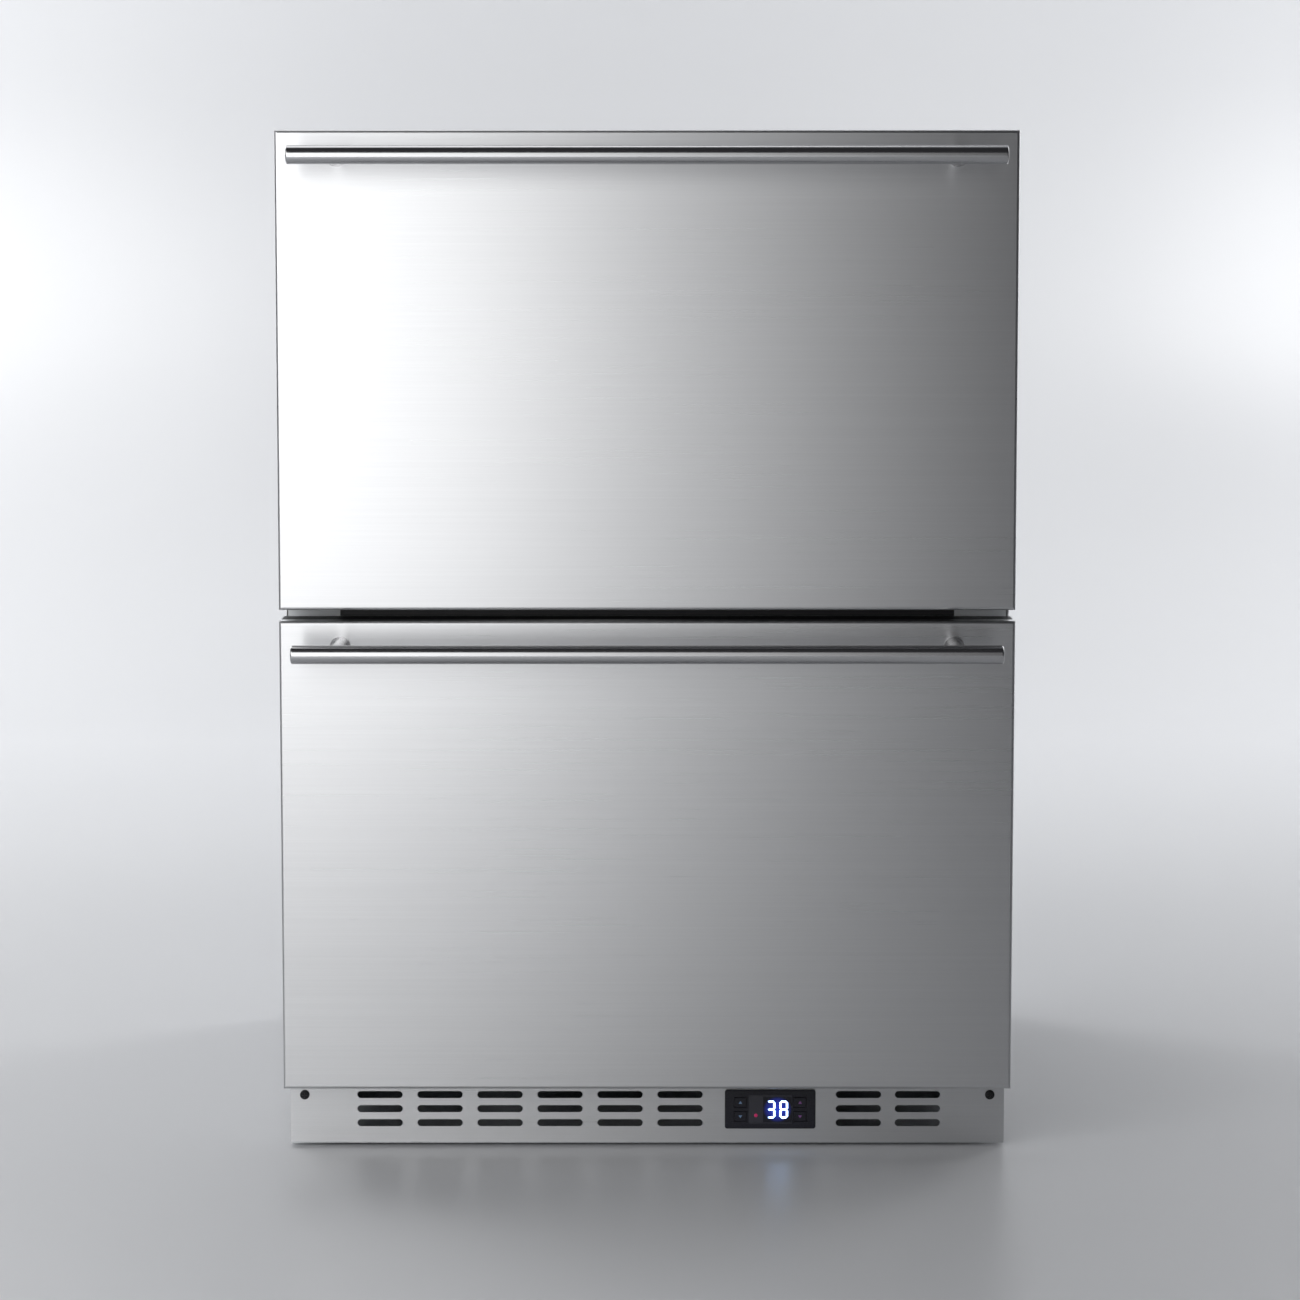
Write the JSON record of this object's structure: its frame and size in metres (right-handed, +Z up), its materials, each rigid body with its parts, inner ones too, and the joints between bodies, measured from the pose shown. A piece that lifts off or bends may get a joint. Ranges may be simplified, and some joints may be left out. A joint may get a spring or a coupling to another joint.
{
  "type": "under counter fridge",
  "caption": "Under-counter refrigerator with two stainless drawers on telescopic slides, round bar handles, a slotted kick plate with a digital thermostat, and a rear cooling unit.",
  "frame": {"origin": "floor level, in the middle of the plan outline", "axes": "+Z up; the drawer fronts and handles face -Y; +X is to the right of someone facing them"},
  "size_m": [0.6, 0.648, 0.845],
  "materials": {
    "stainless_steel": "brushed",
    "white_plastic": "satin",
    "insulation_foam": "matte",
    "black_plastic": "matte",
    "galvanised_sheet": "satin",
    "display_glass": "gloss",
    "zinc_plated_steel": "satin",
    "black_enamel": "gloss",
    "grey_rubber": "matte",
    "aluminium_fins": "satin",
    "copper": "satin",
    "lamp_diffuser": "satin"
  },
  "bodies": {
    "cabinet": {"cabinet_shell": "stainless_steel", "inner_liner": "white_plastic", "cabinet_insulation": "insulation_foam", "center_mullion": "black_plastic", "bay_bulkhead": "galvanised_sheet", "back_panel": "galvanised_sheet", "base_frame": "galvanised_sheet", "machine_cover": "galvanised_sheet", "cord_gland": "black_plastic", "kick_plate": "stainless_steel", "controller_housing": "black_plastic", "display_window": "display_glass", "cabinet_fasteners": "zinc_plated_steel", "compressor": "black_enamel", "compressor_grommets": "grey_rubber", "condenser_coil": "aluminium_fins", "condenser_fan_shroud": "black_plastic", "condenser_fan_motor": "black_plastic", "refrigerant_tubes": "copper", "drain_pan": "black_plastic", "drain_tube": "white_plastic", "evaporator_coil": "aluminium_fins", "evaporator_cover": "white_plastic", "evaporator_fan_motor": "black_plastic", "led_lamp": "lamp_diffuser", "slide_outer_members": "zinc_plated_steel"},
    "condenser_fan_rotor": {"condenser_fan": "black_plastic"},
    "evaporator_fan_rotor": {"evaporator_fan": "black_plastic"},
    "upper_drawer": {"upper_front_skin": "stainless_steel", "upper_front_foam": "insulation_foam", "upper_edge_caps": "black_plastic", "upper_inner_panel": "white_plastic", "upper_gasket": "grey_rubber", "upper_handle_bar": "stainless_steel", "upper_handle_posts": "stainless_steel", "upper_handle_screws": "zinc_plated_steel", "upper_drawer_arms": "galvanised_sheet", "upper_bin": "white_plastic", "upper_slide_inner": "zinc_plated_steel"},
    "upper_slide_link": {"upper_slide_middle": "zinc_plated_steel"},
    "lower_drawer": {"lower_front_skin": "stainless_steel", "lower_front_foam": "insulation_foam", "lower_edge_caps": "black_plastic", "lower_inner_panel": "white_plastic", "lower_gasket": "grey_rubber", "lower_handle_bar": "stainless_steel", "lower_handle_posts": "stainless_steel", "lower_handle_screws": "zinc_plated_steel", "lower_drawer_arms": "galvanised_sheet", "lower_bin": "white_plastic", "lower_slide_inner": "zinc_plated_steel"},
    "lower_slide_link": {"lower_slide_middle": "zinc_plated_steel"},
    "foot_front_left_body": {"foot_front_left": "zinc_plated_steel"},
    "foot_rear_left_body": {"foot_rear_left": "zinc_plated_steel"},
    "foot_front_right_body": {"foot_front_right": "zinc_plated_steel"},
    "foot_rear_right_body": {"foot_rear_right": "zinc_plated_steel"},
    "key_left_lower_body": {"key_left_lower": "black_plastic"},
    "key_left_upper_body": {"key_left_upper": "black_plastic"},
    "key_right_lower_body": {"key_right_lower": "black_plastic"},
    "key_right_upper_body": {"key_right_upper": "black_plastic"}
  },
  "joints": [
    {"name": "upper_drawer_slide", "type": "slide", "parent": "cabinet", "child": "upper_drawer", "axis": [0, -1, 0], "range_m": [0, 0.4]},
    {"name": "upper_slide_link_slide", "type": "slide", "parent": "cabinet", "child": "upper_slide_link", "axis": [0, -1, 0], "range_m": [0, 0.2]},
    {"name": "lower_drawer_slide", "type": "slide", "parent": "cabinet", "child": "lower_drawer", "axis": [0, -1, 0], "range_m": [0, 0.4]},
    {"name": "lower_slide_link_slide", "type": "slide", "parent": "cabinet", "child": "lower_slide_link", "axis": [0, -1, 0], "range_m": [0, 0.2]},
    {"name": "condenser_fan_spin", "type": "hinge", "parent": "cabinet", "child": "condenser_fan_rotor", "pos_m": [-0.16, 0.228, 0.124], "axis": [1, 0, 0], "continuous": true},
    {"name": "evaporator_fan_spin", "type": "hinge", "parent": "cabinet", "child": "evaporator_fan_rotor", "pos_m": [0, 0.24, 0.66], "axis": [0, 1, 0], "continuous": true},
    {"name": "foot_front_left_screw", "type": "slide", "parent": "cabinet", "child": "foot_front_left_body", "axis": [0, 0, -1], "range_m": [0, 0.018]},
    {"name": "foot_rear_left_screw", "type": "slide", "parent": "cabinet", "child": "foot_rear_left_body", "axis": [0, 0, -1], "range_m": [0, 0.018]},
    {"name": "foot_front_right_screw", "type": "slide", "parent": "cabinet", "child": "foot_front_right_body", "axis": [0, 0, -1], "range_m": [0, 0.018]},
    {"name": "foot_rear_right_screw", "type": "slide", "parent": "cabinet", "child": "foot_rear_right_body", "axis": [0, 0, -1], "range_m": [0, 0.018]},
    {"name": "key_left_lower_press", "type": "slide", "parent": "cabinet", "child": "key_left_lower_body", "axis": [0, 1, 0], "range_m": [0, 0.0008], "stiffness_N_per_m": 1500, "springref_m": -0.0004},
    {"name": "key_left_upper_press", "type": "slide", "parent": "cabinet", "child": "key_left_upper_body", "axis": [0, 1, 0], "range_m": [0, 0.0008], "stiffness_N_per_m": 1500, "springref_m": -0.0004},
    {"name": "key_right_lower_press", "type": "slide", "parent": "cabinet", "child": "key_right_lower_body", "axis": [0, 1, 0], "range_m": [0, 0.0008], "stiffness_N_per_m": 1500, "springref_m": -0.0004},
    {"name": "key_right_upper_press", "type": "slide", "parent": "cabinet", "child": "key_right_upper_body", "axis": [0, 1, 0], "range_m": [0, 0.0008], "stiffness_N_per_m": 1500, "springref_m": -0.0004}
  ],
  "couplings": [
    {"joint": "upper_slide_link_slide", "follows": "upper_drawer_slide", "ratio": 0.5},
    {"joint": "lower_slide_link_slide", "follows": "lower_drawer_slide", "ratio": 0.5}
  ]
}
